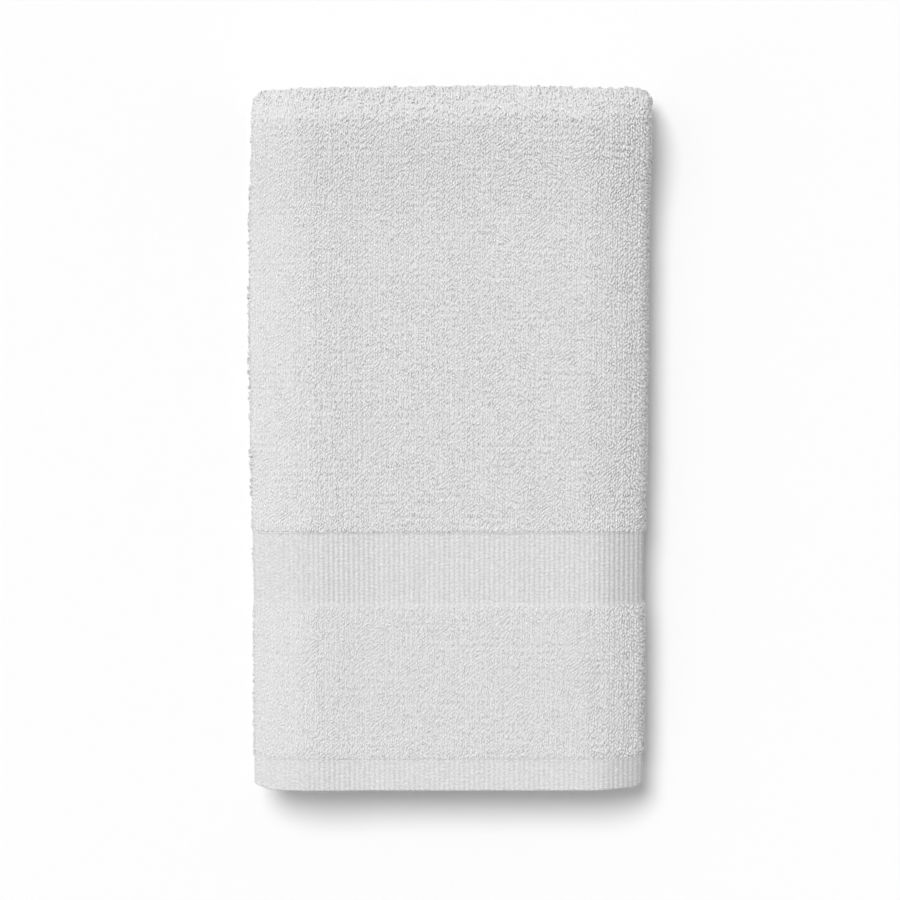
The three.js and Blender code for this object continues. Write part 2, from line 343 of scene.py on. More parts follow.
# %% Grid of the ground sheet
HEM_ROUND = 0.8
# Steps in mm over the inner flap, left fold, face, right fold and outer flap.
ACROSS_STEPS = [14, 0.6, 6, 0.8, 14]
# Steps over the hem's edge, the hem, and then a ramp and a band in turn.
BAND_STEPS = [0.2, 3, 0.3, 5, 0.3, 5, 0.3]
# Steps over the top panel, top fold, bottom panel, hem fold and inner panel.
PANEL_STEPS = [5, 1.8, 6, 1.4, 6]


def stations(marks, spacing):
    """Even stations between marks, about the given spacing apart."""
    parts = []
    for start, end, step in zip(marks, marks[1:], spacing):
        parts.append(np.linspace(start, end, math.ceil((end - start) / step), endpoint=False))
    return np.append(np.concatenate(parts), marks[-1])


band_marks = [0, HEM_ROUND]
for band_end in BAND_ENDS.values():
    band_marks += [band_end - BAND_RAMP, band_end + BAND_RAMP]
far_marks = [TOWEL_LENGTH - mark for mark in reversed(band_marks)]
ground_across = stations([0, *ACROSS_STRETCHES, TOWEL_WIDTH], ACROSS_STEPS)
ground_along = stations(
    [*band_marks, *ALONG_STRETCHES, *far_marks],
    [*BAND_STEPS, *PANEL_STEPS, *reversed(BAND_STEPS)],
)
flat_across, flat_along = np.meshgrid(ground_across, ground_along)
rows, columns = flat_across.shape
print("ground grid", rows, "rows of", columns, "points")

# %% [markdown]
# Under the loops the ground is thin. Where the pile is pressed flat, on the flaps inside and on the
# underside that the towel lies on, the ground is as thick as that pile. In the hollow of the top fold the
# pile has room to stand, so the ground is thin there too.

# %% Ground sheet
GROUND_HEIGHT = 0.5
PRESSED_PILE = 0.1
RELIEF_ROOM = 0.75
HOLLOW_REACH = 18.0
HEM_EDGE_SHARE = 0.55
FLAP_BLEND = 3.0


def inside(value, start, end, outer_blend, inner_blend):
    """One between start and end, falling to nothing from inner_blend inside them to outer_blend outside."""
    after_start = share(value, start - outer_blend, start + inner_blend)
    return after_start * share(value, end + outer_blend, end - inner_blend)


hem_edge = share(np.minimum(flat_along, TOWEL_LENGTH - flat_along), 0, HEM_ROUND)
half = band_value(BAND_THICKNESS, flat_along) / 2 * (HEM_EDGE_SHARE + (1 - HEM_EDGE_SHARE) * hem_edge)
pressed = half - PRESSED_PILE
on_face = inside(flat_across, INNER_FLAP, RIGHT_FOLD_END, FLAP_BLEND, 0)
in_hollow = inside(flat_along, TOP_PANEL_END, TOP_FOLD_END, HOLLOW_REACH, 0) * (flat_across > RIGHT_FOLD_END)
lain_on = inside(flat_along, TOP_FOLD_END, BOTTOM_PANEL_END, FLAP_BLEND, FLAP_BLEND)
lain_on = lain_on * inside(flat_across, LEFT_FOLD_END, RIGHT_FOLD_START, FLAP_BLEND, FLAP_BLEND)
looped = np.maximum(on_face * (1 - lain_on), in_hollow)
looped_front = np.minimum(GROUND_HEIGHT, half - RELIEF_ROOM)
front = pressed + (looped_front - pressed) * looped
faces = [fold(flat_across, flat_along, front), fold(flat_across, flat_along, -pressed)]
corner = np.arange(rows * columns).reshape(rows, columns)
front_quads = grid_quads(rows, columns)
back_quads = front_quads[:, ::-1] + rows * columns


def rim(edge, outwards):
    """Faces between the two sides of the sheet along one run of edge points."""
    strip = np.stack([edge[:-1], edge[1:], edge[1:] + rows * columns, edge[:-1] + rows * columns], axis=1)
    return strip if outwards else strip[:, ::-1]


rims = [rim(corner[:, 0], True), rim(corner[:, -1], False), rim(corner[0], False), rim(corner[-1], True)]
ground_weave = np.stack([flat_across, flat_along], axis=-1).reshape(-1, 2) * MM
# The ground's tone is painted shade: darker on the front where loops stand over it, lighter where the pile is
# pressed and on the back.
ground = cloth_piece(
    "ground_sheet",
    np.concatenate([face.reshape(-1, 3) for face in faces]),
    np.concatenate([front_quads, back_quads, *rims]),
    np.concatenate([ground_weave, ground_weave]),
    np.concatenate([(1 - looped).ravel(), np.ones(rows * columns)]),
)

# %% [markdown]
# Across the towel runs a flat border, woven without loops. Seen close, it is upright ribs crossed by fine
# rows of weft, and along its lower side lies a row of longer floats that catches the light. A picture of
# ribs in the bump would look flat at the turned edge, so the ribs are a real relief on a fine grid.
# First come the ribs, and the small cells along them where the weft goes over.

# %% Ribs and cells of the flat weave
COLUMN_PITCH = 1.73
RIB_ROUND = 0.7
RIB_FLOOR = 0.5
RIB_TONE = 0.5
RIB_TONE_SPREAD = 0.02
CELL_PITCH = 1.05
CELL_SLANT = 0.8
CELL_ROUND = 0.5
CELL_HEIGHTS = (0.85, 1.05)
CELL_WAVER = 1.1
WAVER_SHARE = 0.3
FIRST_CELL = 2
MOST_CELLS = 92
BAND_REACH = 0.7
FLOAT_ROW = 0.9
FLOAT_EDGE = 0.3
FLOAT_CELL = 0.75
WEAVE_SEED = 11

hem_end, lower_end, border_end = BAND_ENDS.values()
ALL_RIBS = math.ceil(TOWEL_WIDTH / COLUMN_PITCH)
weave_rng = np.random.default_rng(WEAVE_SEED)
rib_tone = weave_rng.normal(RIB_TONE, RIB_TONE_SPREAD, ALL_RIBS)
rib_start = weave_rng.uniform(0, 1, ALL_RIBS)
rib_slant = weave_rng.uniform(-CELL_SLANT, CELL_SLANT, ALL_RIBS)
cell_height = weave_rng.uniform(*CELL_HEIGHTS, (ALL_RIBS, MOST_CELLS))


def ribs(across):
    """Rounded ribs: a root of the size of a sine, one broad hump a column with a narrow gap beside it."""
    return np.abs(np.sin(math.pi * across / COLUMN_PITCH)) ** RIB_ROUND


def in_floats(along):
    """One inside the row of floats at the border's lower side, easing to nothing outside it."""
    before = ease(share(along, lower_end - BAND_REACH, lower_end))
    float_end = lower_end + FLOAT_ROW
    return before * ease(share(along, float_end + FLOAT_EDGE, float_end - FLOAT_EDGE))


def cells(across, along):
    """Short slanted humps of uneven height along each rib. Each rib starts and slants its own way and
    wavers by a sine. In the row of floats they are all alike."""
    column = np.floor(across / COLUMN_PITCH).astype(int)
    waver = np.sin(along * CELL_WAVER + 2 * math.pi * rib_start[column])
    slant = rib_slant[column] * (across / COLUMN_PITCH - column)
    step = along / CELL_PITCH + slant + rib_start[column] + WAVER_SHARE * waver + FIRST_CELL
    humps = np.abs(np.sin(math.pi * step)) ** CELL_ROUND * cell_height[column, np.floor(step).astype(int)]
    return humps + (FLOAT_CELL - humps) * in_floats(along)


def woven(across, along):
    """The plain part of the weave: ribs lowered between their cells."""
    return ribs(across) * (RIB_FLOOR + (1 - RIB_FLOOR) * cells(across, along))


print("ribs across the cloth", ALL_RIBS, "with up to", MOST_CELLS, "cells each")

# %% [markdown]
# The ribs don't look the same all over. Over the left roll they are pressed flat. Over the right fold they
# are stretched apart, so the gaps there are deeper, and painted shade makes the band there darker.

# %% How deep the weave is, and its tone with painted shade
FLAT_STRIP = 22.0
FLAT_SHARE = 0.6
OPENED_STRIP = 17.0
OPENED_DEPTH = 0.5
# Painted shade: the weave's tone falls where the ribs open and the band turns away from the light over the
# right fold.
OPENED_PAINTED_SHADE = 0.45
# Painted light and shade on the cells: crests lighter, cell ends and gaps between ribs darker.
CELL_PAINTED_LIGHT_AND_SHADE = 1.2
CELL_MEAN = 0.72
CREST_SHARE = 0.5
GAP_PAINTED_SHADE = 0.3
GAP_MEAN = 0.29


def opened(across):
    """How far the ribs are stretched apart as they go over the right fold."""
    return ease(share(across, RIGHT_FOLD_START - OPENED_STRIP, RIGHT_FOLD_START))


def rib_depth(across):
    """How deep the gaps between ribs are: shallow over the left roll, deepest over the right fold."""
    flat = ease(share(across, LEFT_FOLD_END + FLAT_STRIP, LEFT_FOLD_END))
    return 1 - FLAT_SHARE * flat + OPENED_DEPTH * opened(across)


def weave_tone_and_painted_shade(across, along):
    """The weave's tone: each rib's own whiteness, with painted shade in the gaps between ribs, most of all
    where a cell ends in a gap, a painted highlight on the cells' crests, and painted shade where the ribs
    open over the right fold."""
    gap = 1 - ribs(across)
    cell = CELL_PAINTED_LIGHT_AND_SHADE * (cells(across, along) - CELL_MEAN) * (CREST_SHARE + (1 - CREST_SHARE) * gap)
    rib = rib_tone[np.floor(across / COLUMN_PITCH).astype(int)]
    # Painted shade and light: gaps and cell ends darker, crests lighter, and the band darker over the right
    # fold.
    return rib + cell - GAP_PAINTED_SHADE * rib_depth(across) * (gap - GAP_MEAN) - OPENED_PAINTED_SHADE * opened(across)


print("depth of the gaps at the side folds", rib_depth(np.array(ACROSS_STRETCHES)).round(2))

# %% [markdown]
# The relief is laid over runs of the cloth as a thin skin, sampled several times in each rib. The same
# helper serves the border that shows, the far border where it turns at the side folds, and later the hems.

# %% Flat border
SAMPLES_PER_RIB = 6
RELIEF_STEP = 0.28
RELIEF_BASE = 0.35
RIB_RISE = 0.6
FLOAT_LOW = 0.4
FLOAT_RISE = 0.5
GRAIN_TONE = 0.28
FACE_MARGIN = 1.5
FOLD_MARGIN = 1.0

whole_face = [(INNER_FLAP - FACE_MARGIN, RIGHT_FOLD_END + FACE_MARGIN)]
side_folds = [
    (INNER_FLAP - FACE_MARGIN, LEFT_FOLD_END + FOLD_MARGIN),
    (RIGHT_FOLD_START - FOLD_MARGIN, RIGHT_FOLD_END + FACE_MARGIN),
]


def relief_piece(name, across_ranges, along_stations, relief):
    """A skin over runs of the face. Its height above the cloth's middle is the relief at each place across
    and at each distance from the nearer hem."""
    points, quads, flat, tone = [], [], [], []
    count = 0
    for start, end in across_ranges:
        across_stations = np.arange(start, end, COLUMN_PITCH / SAMPLES_PER_RIB)
        across, along = np.meshgrid(across_stations, along_stations)
        from_hem = np.minimum(along, TOWEL_LENGTH - along)
        height = relief(across, from_hem)
        grain = weave_rng.normal(0, GRAIN_TONE, across.shape)
        points.append(fold(across, along, height).reshape(-1, 3))
        quads.append(grid_quads(*across.shape) + count)
        flat.append(np.stack([across, along], axis=-1).reshape(-1, 2) * MM)
        tone.append((weave_tone_and_painted_shade(across, from_hem) + grain).ravel())
        count += across.size
    return cloth_piece(name, *[np.concatenate(part) for part in (points, quads, flat, tone)])


def border_relief(across, along):
    """The weave, with a row of long floats at the lower side, sinking under the loops at both ends."""
    floats = FLOAT_LOW + FLOAT_RISE * ribs(across)
    plain = woven(across, along)
    rise = plain + (floats - plain) * in_floats(along)
    ends = share(along, lower_end - BAND_REACH, lower_end) * share(along, border_end + BAND_REACH, border_end)
    return RELIEF_BASE + RIB_RISE * ends * (1 - rib_depth(across) * (1 - rise))


border_along = np.arange(lower_end - BAND_REACH, border_end + BAND_REACH, RELIEF_STEP)
border = relief_piece("border_ribs", whole_face, border_along, border_relief)
far_border_along = TOWEL_LENGTH - border_along[::-1]
far_border_sides = relief_piece("far_border_sides", side_folds, far_border_along, border_relief)

# %% [markdown]
# The hem is the end of the cloth, turned twice and sewn. It shows the same ribs, lower and closer pressed,
# and its edge is a fold, so the relief rolls over the edge before it stops.

# %% Hem
HEM_RIB_RISE = 0.4
HEM_NOSE = 0.75
NOSE_STEPS = 7


def hem_relief(across, along):
    """The same weave, lower, on the turned hem, rounded down over its edge by a quarter ellipse."""
    nose = np.sqrt(1 - (1 - share(along, 0, HEM_NOSE)) ** 2)
    foot = share(along, hem_end + BAND_REACH, hem_end)
    shown = foot * (1 - rib_depth(across) * (1 - woven(across, along)))
    return (BAND_THICKNESS[0] / 2 - HEM_RIB_RISE * (1 - shown)) * nose


nose_along = np.linspace(0, HEM_NOSE, NOSE_STEPS, endpoint=False)
hem_along = np.append(nose_along, np.arange(HEM_NOSE, hem_end + BAND_REACH, RELIEF_STEP))
hem = relief_piece("hem_ribs", whole_face, hem_along, hem_relief)
far_hem_sides = relief_piece("far_hem_sides", side_folds, TOWEL_LENGTH - hem_along[::-1], hem_relief)

# %% [markdown]
# Stitches, weft turns and loops are lengths of yarn, and all of them are tubes. The helper takes the middle
# lines of many yarns at once, finds a side and a top direction along each, and sets a small ring of points
# round every station. A tube is left open at its ends, because both ends stand in the cloth.

# %% Helper that turns lines of yarn into tubes
ALONG_WAY = np.array([0.0, 1.0, 0.0])
UPWARD_WAY = np.array([0.0, 0.0, 1.0])


def yarn_tubes(lines, normal, radius, sides):
    """Rings round lines of shape (yarns, stations, 3). The ring's axes are the normal made square to the
    line, and the cross product of line and normal."""
    heading = np.gradient(lines, axis=1)
    heading /= np.linalg.norm(heading, axis=2, keepdims=True)
    up = normal - (normal * heading).sum(axis=2, keepdims=True) * heading
    up /= np.linalg.norm(up, axis=2, keepdims=True)
    beside = np.cross(heading, up)
    angle = np.linspace(0, 2 * math.pi, sides, endpoint=False)
    ring = np.cos(angle)[:, None] * up[:, :, None, :] + np.sin(angle)[:, None] * beside[:, :, None, :]
    return lines[:, :, None, :] + np.broadcast_to(radius, len(lines))[:, None, None, None] * ring


def tube_quads(yarns, steps, sides):
    """Faces of tubes whose points are stored yarn by yarn, ring by ring."""
    yarn = np.arange(yarns)[:, None, None] * (steps + 1) * sides
    ring = np.arange(steps)[None, :, None] * sides
    here = np.arange(sides)[None, None, :]
    after = (here + 1) % sides
    corners = [ring + here, ring + after, ring + sides + after, ring + sides + here]
    return np.stack([yarn + corner for corner in corners], axis=-1).reshape(-1, len(corners))


def yarn_piece(name, lines, normal, radius, sides, tone):
    """Folds the tubes of many yarns into the bundle as one mesh. Radius and tone are one value for all the
    yarns or one for each."""
    tubes = yarn_tubes(lines, normal, radius, sides)
    flat = tubes.reshape(-1, 3)
    points = fold(flat[:, 0], flat[:, 1], flat[:, 2])
    points[:, 2] = np.maximum(points[:, 2], 0)
    quads = tube_quads(len(lines), lines.shape[1] - 1, sides)
    point_tone = np.repeat(np.broadcast_to(tone, len(lines)), lines.shape[1] * sides)
    return cloth_piece(name, points, quads, flat[:, :2] * MM, point_tone)


print("a yarn of two steps and three sides has", len(tube_quads(1, 2, 3)), "faces")

# %% [markdown]
# A row of sewing holds the turned hem. Each stitch is a short thread that dips into the cloth at both ends
# and lies half sunk, so the row shows only as a faint dotted line.

# %% Hem stitches
STITCH_LENGTH = 2.7
STITCH_SHARE = 0.82
STITCH_RADIUS = 0.2
STITCH_FROM_HEM = 10.6
STITCH_SINK = 0.55
STITCH_ARCH = 0.3
STITCH_ROUND = 0.5
STITCH_STEPS = 5
STITCH_SIDES = 4
STITCH_TONE = 0.6

stitch_start = np.arange(INNER_FLAP, RIGHT_FOLD_END, STITCH_LENGTH)[:, None]
run = np.linspace(0, 1, STITCH_STEPS + 1)
stitch_across = stitch_start + STITCH_LENGTH * STITCH_SHARE * run
stitch_arch = STITCH_ARCH * np.sin(math.pi * run) ** STITCH_ROUND
stitch_height = BAND_THICKNESS[0] / 2 - STITCH_SINK + stitch_arch
stitch_lines = np.stack(np.broadcast_arrays(stitch_across, STITCH_FROM_HEM, stitch_height), axis=-1)
stitches = yarn_piece("hem_stitches", stitch_lines, ALONG_WAY, STITCH_RADIUS, STITCH_SIDES, STITCH_TONE)

# %% [markdown]
# A selvedge is a long edge of the cloth, where every weft yarn turns back. Each turn is half a ring of yarn
# round the edge, so the two edges look bound, as they do on a woven towel.

# %% Selvedges
WEFT_PITCH = 1.2
WEFT_RADIUS = 0.45
WEFT_BULGE = 0.5
WEFT_STEPS = 3
WEFT_SIDES = 4
WEFT_SEED = 12

turn_along = np.arange(WEFT_PITCH, TOWEL_LENGTH, WEFT_PITCH)[:, None]
swing = np.linspace(-math.pi / 2, math.pi / 2, WEFT_STEPS + 1)
turn_height = (band_value(BAND_THICKNESS, turn_along) / 2 - WEFT_RADIUS) * np.sin(swing)
turn_lines = []
for edge, outwards in ((0, -1), (TOWEL_WIDTH, 1)):
    turn_across = edge + outwards * WEFT_BULGE * np.cos(swing)
    turn_lines.append(np.stack(np.broadcast_arrays(turn_across, turn_along, turn_height), axis=-1))
turn_lines = np.concatenate(turn_lines)
weft_tone = np.random.default_rng(WEFT_SEED).uniform(0, 1, len(turn_lines))
selvedges = yarn_piece("selvedge_turns", turn_lines, ALONG_WAY, WEFT_RADIUS, WEFT_SIDES, weft_tone)

# %% [markdown]
# Terry is covered with loops of soft yarn that lean over, so from above each shows as a short arched stroke
# of yarn. Hair particles would not survive an export, so the loops are modelled, two for each column of the
# weave in every half row. First come the ways in which the pile differs from place to place. It is pressed
# low at the left, opens over the right fold and stands taller round the top fold, where it springs apart.

# %% How the pile lies
LOOP_RISE = 0.64
PRESSED_LEFT = 0.6
PRESSED_LOWER = 0.8
OPEN_RIGHT = 1.45
OPEN_TOP = 1.5
LEFT_STRIP = 36.0
RIGHT_STRIP = 13.0
TALL_SIDE = 1.3
TALL_TOP = 0.6
TURN_REACH = 0.9
TOP_FOLD_MIDDLE = (TOP_PANEL_END + TOP_FOLD_END) / 2


def pressed_left(across):
    """How far the pile is pressed flat: wholly at the end of the left fold, easing off on both sides. The
    same share lightens the loops' tone there as painted light.
    """
    before = ease(share(across, INNER_FLAP, LEFT_FOLD_END))
    return before * ease(share(across, LEFT_FOLD_END + LEFT_STRIP, LEFT_FOLD_END))


def round_top(along):
    """How far round the top fold a place is: one at its middle, easing to nothing at both ends."""
    before = ease(share(along, TOP_PANEL_END, TOP_FOLD_MIDDLE))
    return before * ease(share(along, TOP_FOLD_END, TOP_FOLD_MIDDLE))


def loop_rise(across, along):
    """How high loops stand: pressed low on the left strip and below the border, opening towards the right
    fold and round the top."""
    left = pressed_left(across)
    right = ease(share(across, RIGHT_FOLD_START - RIGHT_STRIP, RIGHT_FOLD_START))
    lower = share(along, border_end, lower_end)
    sides = (PRESSED_LEFT - 1) * left + (OPEN_RIGHT - 1) * right
    return LOOP_RISE * (1 + sides + (OPEN_TOP - 1) * round_top(along) + (PRESSED_LOWER - 1) * lower)


def proud(across, along):
    """How much higher than the rest a few loops stand: most at the turn of the left fold, less at the top."""
    top = (along > TOP_PANEL_END) & (along < TOP_FOLD_END)
    left_turn = np.abs(across - (INNER_FLAP + LEFT_FOLD_END) / 2) < TURN_REACH
    return np.where(top, TALL_TOP, np.where(left_turn, TALL_SIDE, 0))


print("loops rise", loop_rise(np.array(ACROSS_STRETCHES), TOP_PANEL_END).round(2), "mm at the side folds")

# %% [markdown]
# The lean of the loops drifts slowly over the cloth, as it does where a hand has brushed the pile, and each
# loop strays from it a little. A loop is a low arch: a straight run along its lean, bowed a little sideways.

# %% Lines of the loops
LEAN = math.radians(85)
LEAN_DRIFT = math.radians(16)
LEAN_SCATTER = math.radians(20)
TOP_SCATTER = math.radians(55)
LOOP_FOOT = 0.15
LOOP_REACH = 1.0
LOOP_BOW = 0.14
LOOP_SIZES = (0.8, 1.2)
ARCH_ROUND = 0.6
TALL_SHARE = 0.2
# Columns: radians for each mm across, radians for each mm along, and where the wave starts.
DRIFT_LOWEST = [0.1, 0.06, 0]
DRIFT_HIGHEST = [0.36, 0.25, 2 * math.pi]
DRIFT_WAVES = 7
DRIFT_SWING = 2.6
WAVE_SEED = 5
SIGN_SEED = 6

wave_rng = np.random.default_rng(WAVE_SEED)
drift_waves = wave_rng.uniform(DRIFT_LOWEST, DRIFT_HIGHEST, (DRIFT_WAVES, len(DRIFT_LOWEST)))
drift_signs = np.random.default_rng(SIGN_SEED).choice([-1, 1], DRIFT_WAVES)


def drift(across, along):
    """A slow wander between about -1 and 1: the sum of a few sine waves of different lengths, scaled."""
    waves = [np.sin(a * across * sign + b * along + c) for (a, b, c), sign in zip(drift_waves, drift_signs)]
    return np.sum(waves, axis=0) / DRIFT_SWING


def loop_lines(across, along, steps, rng):
    """Middle lines of loops as low arches: they run straight along the lean, bow sideways as a sine, and
    rise as a root of the same sine, so that both feet stand in the ground."""
    count = len(across)
    scatter = LEAN_SCATTER + TOP_SCATTER * round_top(along)
    lean = LEAN + LEAN_DRIFT * drift(across, along) + scatter * rng.normal(0, 1, count)
    reach = LOOP_REACH * rng.uniform(*LOOP_SIZES, count)
    bow = rng.normal(0, LOOP_BOW, count)
    tall = (rng.uniform(0, 1, count) < TALL_SHARE) * proud(across, along)
    height = loop_rise(across, along) * (1 + tall) * rng.uniform(*LOOP_SIZES, count)
    forward = np.stack([np.cos(lean), np.sin(lean), 0 * lean], axis=-1)[:, None, :]
    sideways = np.stack([-np.sin(lean), np.cos(lean), 0 * lean], axis=-1)[:, None, :]
    part = np.linspace(0, 1, steps + 1)
    arch = np.sin(math.pi * part)[None, :, None]
    lines = np.stack([across, along, np.full(count, LOOP_FOOT)], axis=-1)[:, None, :]
    lines = lines + reach[:, None, None] * (part[None, :, None] - 0.5) * forward
    lines = lines + bow[:, None, None] * arch * sideways
    lines[:, :, 2] += height[:, None] * np.abs(arch[:, :, 0]) ** ARCH_ROUND
    return lines


print("lean", round(math.degrees(LEAN)), "degrees, drifting by", round(math.degrees(LEAN_DRIFT)))

# %% [markdown]
# Now the loops are set out over the cloth. Two strands make a column, and the second stands half a row on
# from the first. In patches two rows are pulled together, which gives the pile its uneven, slightly ridged
# look.

# %% Helper that sets out loops
STRAND_PITCH = COLUMN_PITCH / 2
ROW_PITCH = 1.225
STRAND_STRAY = 0.12
ROW_STRAY = 0.18
PAIR_PULL = 0.22
ROW_PULL = 0.32
PULL_PATCH = (-0.2, 0.5)
YARN_RADIUS = 0.5
YARN_SIZES = (0.85, 1.15)
LOOP_SIDES = 3
LOOSE_TONE = 0.55
# Painted shade on the loops round the top fold.
TOP_FOLD_PAINTED_SHADE = 0.8


def pile_piece(name, along_range, across_ranges, pitches, steps, seed):
    """Loops on every strand and row of one stretch of cloth, each a little off its place."""
    rng = np.random.default_rng(seed)
    strand_pitch, row_pitch = pitches
    row_count = round((along_range[1] - along_range[0]) / row_pitch)
    row_places = along_range[0] + (np.arange(row_count) + 0.5) * (along_range[1] - along_range[0]) / row_count
    strand_places = np.concatenate([np.arange(start, end, strand_pitch) for start, end in across_ranges])
    across, along = np.meshgrid(strand_places, row_places)
    second_strand = np.arange(len(strand_places)) % 2
    second_row = np.arange(row_count)[:, None] % 2
    along = along - ROW_PULL * row_pitch * second_row * share(drift(along, across), *PULL_PATCH)
    across = (across - PAIR_PULL * strand_pitch * second_strand).ravel()
    across = across + rng.normal(0, STRAND_STRAY * strand_pitch, across.size)
    along = (along + row_pitch / 2 * (second_strand - 0.5)).ravel()
    along = along + rng.normal(0, ROW_STRAY * row_pitch, along.size)
    lines = loop_lines(across, along, steps, rng)
    radius = YARN_RADIUS * rng.uniform(*YARN_SIZES, across.size)
    # Past a random spread, the tone rises to full white on the pressed left strip as painted light, and falls
    # round the top fold as painted shade.
    tone = rng.uniform(0, LOOSE_TONE, across.size) + (1 - LOOSE_TONE) * pressed_left(across)
    tone = tone - TOP_FOLD_PAINTED_SHADE * round_top(along)
    return yarn_piece(name, lines, UPWARD_WAY, radius, LOOP_SIDES, tone)


print("strands", STRAND_PITCH, "mm apart and rows", ROW_PITCH, "mm apart")

# %% [markdown]
# The pile covers the towel in stretches, so that no piece gets too heavy. Loops that show are drawn with
# three steps and the rest with two. Inside the bundle there are loops only where an open side shows them.

# %% Terry loops
FOLD_ROW_PITCH = 1.45
HOLLOW_SEEN = 42.0
OVER_HEM = 0.9
BELOW_BORDER = 0.2
ABOVE_BORDER = 0.3
SHOWN_STEPS = 3
HIDDEN_STEPS = 2
FIRST_PILE_SEED = 20

flap_ends = [
    (RIGHT_FOLD_END + FACE_MARGIN, RIGHT_FOLD_END + HOLLOW_SEEN),
    (TOWEL_WIDTH - HOLLOW_SEEN, TOWEL_WIDTH),
]
half_way = (border_end + TOP_PANEL_END) / 2
far_border, far_lower, far_hem = TOWEL_LENGTH - border_end, TOWEL_LENGTH - lower_end, TOWEL_LENGTH - hem_end
hollow = (TOP_PANEL_END - HOLLOW_REACH, TOP_FOLD_END + HOLLOW_REACH)
FINE = (STRAND_PITCH, ROW_PITCH)
OPENED = (STRAND_PITCH, FOLD_ROW_PITCH)
BROAD = (COLUMN_PITCH, FOLD_ROW_PITCH)
# Columns: name, stretch along the cloth, runs across it, pitches, and steps in a loop.
PILE_STRETCHES = [
    ("pile_below_border", (hem_end - OVER_HEM, lower_end - BELOW_BORDER), whole_face, FINE, SHOWN_STEPS),
    ("pile_above_border", (border_end + ABOVE_BORDER, half_way), whole_face, FINE, SHOWN_STEPS),
    ("pile_upper_face", (half_way, TOP_PANEL_END), whole_face, FINE, SHOWN_STEPS),
    ("pile_top_fold", (TOP_PANEL_END, TOP_FOLD_END), whole_face, OPENED, SHOWN_STEPS),
    ("pile_fold_hollow", hollow, flap_ends, BROAD, HIDDEN_STEPS),
    ("pile_underside_sides", (TOP_FOLD_END, BOTTOM_PANEL_END), side_folds, OPENED, HIDDEN_STEPS),
    ("pile_hem_fold", (BOTTOM_PANEL_END, HEM_FOLD_END), whole_face, FINE, SHOWN_STEPS),
    ("pile_inner_sides", (HEM_FOLD_END, far_border), side_folds, FINE, HIDDEN_STEPS),
    ("pile_inner_hem_sides", (far_lower, far_hem), side_folds, FINE, HIDDEN_STEPS),
]
pile = [pile_piece(*row, seed) for seed, row in enumerate(PILE_STRETCHES, start=FIRST_PILE_SEED)]

# %% [markdown]
# Cotton is matt, with a faint sheen at glancing angles from the fibres that stand off each yarn. White
# cotton sends back most of the light, so the pile glows in its own gaps. One helper adds a node with its
# settings and links. Colours are given as on a screen and turned to linear by one function.

# %% Helpers for finishes
GLOW_REACH_MM = 0.8
# Places of the sockets of a mix node that mixes colours.
MIX_SHARE, MIX_FIRST, MIX_SECOND, MIX_RESULT = 0, 6, 7, 2


def linear(hex_colour):
    """Screen colour such as #f2f2f0 to linear red, green, blue and alpha, by the standard screen curve."""
    screen = np.array([int(hex_colour[i:i + 2], 16) for i in (1, 3, 5)]) / 255
    values = np.where(screen <= 0.04045, screen / 12.92, ((screen + 0.055) / 1.055) ** 2.4)
    return (*values, 1.0)


def add_node(tree, kind, settings, inputs):
    """Adds one node, sets its settings, and fills its inputs with values or links from other sockets."""
    node = tree.nodes.new(kind)
    for key, value in settings.items():
        setattr(node, key, value)
    for key, value in inputs.items():
        if isinstance(value, bpy.types.NodeSocket):
            tree.links.new(value, node.inputs[key])
        else:
            node.inputs[key].default_value = value
    return node


def cotton(name, darker, lighter, grain_mm, grain_depth_mm, sheen, glow):
    """Matt cotton: a tone for each yarn between two whites, fibre grain of a real size as bump, and sheen."""
    material = bpy.data.materials.new(name)
    material.use_nodes = True
    tree = material.node_tree
    tree.nodes.clear()
    place = add_node(tree, "ShaderNodeTexCoord", {}, {})
    tone = add_node(tree, "ShaderNodeAttribute", {"attribute_name": "tone"}, {})
    grain = add_node(tree, "ShaderNodeTexNoise", {}, {
        "Vector": place.outputs["Object"], "Scale": 1 / (grain_mm * MM), "Detail": 2.0, "Roughness": 0.6,
    })
    colour = add_node(tree, "ShaderNodeMix", {"data_type": "RGBA"}, {
        MIX_SHARE: tone.outputs["Fac"], MIX_FIRST: linear(darker), MIX_SECOND: linear(lighter),
    })
    bump = add_node(tree, "ShaderNodeBump", {}, {
        "Height": grain.outputs["Fac"], "Distance": grain_depth_mm * MM, "Strength": 0.6,
    })
    shader = add_node(tree, "ShaderNodeBsdfPrincipled", {}, {
        "Base Color": colour.outputs[MIX_RESULT], "Normal": bump.outputs["Normal"],
        "Roughness": 0.92, "Specular IOR Level": 0.25, "IOR": 1.5,
        "Sheen Weight": sheen, "Sheen Roughness": 0.45,
        "Subsurface Weight": glow, "Subsurface Radius": (1.0, 1.0, 1.0),
        "Subsurface Scale": GLOW_REACH_MM * MM,
    })
    add_node(tree, "ShaderNodeOutputMaterial", {}, {"Surface": shader.outputs["BSDF"]})
    return material


print("white such as #f2f2f0 is", np.round(linear("#f2f2f0")[:3], 3), "in linear light")

# %% [markdown]
# There are four kinds of cotton. The pile is the softest, and the flat weave shows the widest range of tones,
# because painted shade darkens its narrow gaps.

# %% Finishes
# Loosely spun yarn: soft strokes of white that glow in the gaps, so the pile never looks grey or hard. Its
# tone
# # also carries painted light on the left strip and painted shade round the top fold.
loop_cotton = cotton(
    "terry_loops_soft_spun_cotton", darker="#e4e4e4", lighter="#ededed",
    grain_mm=0.35, grain_depth_mm=0.08, sheen=0.2, glow=0.4,
)
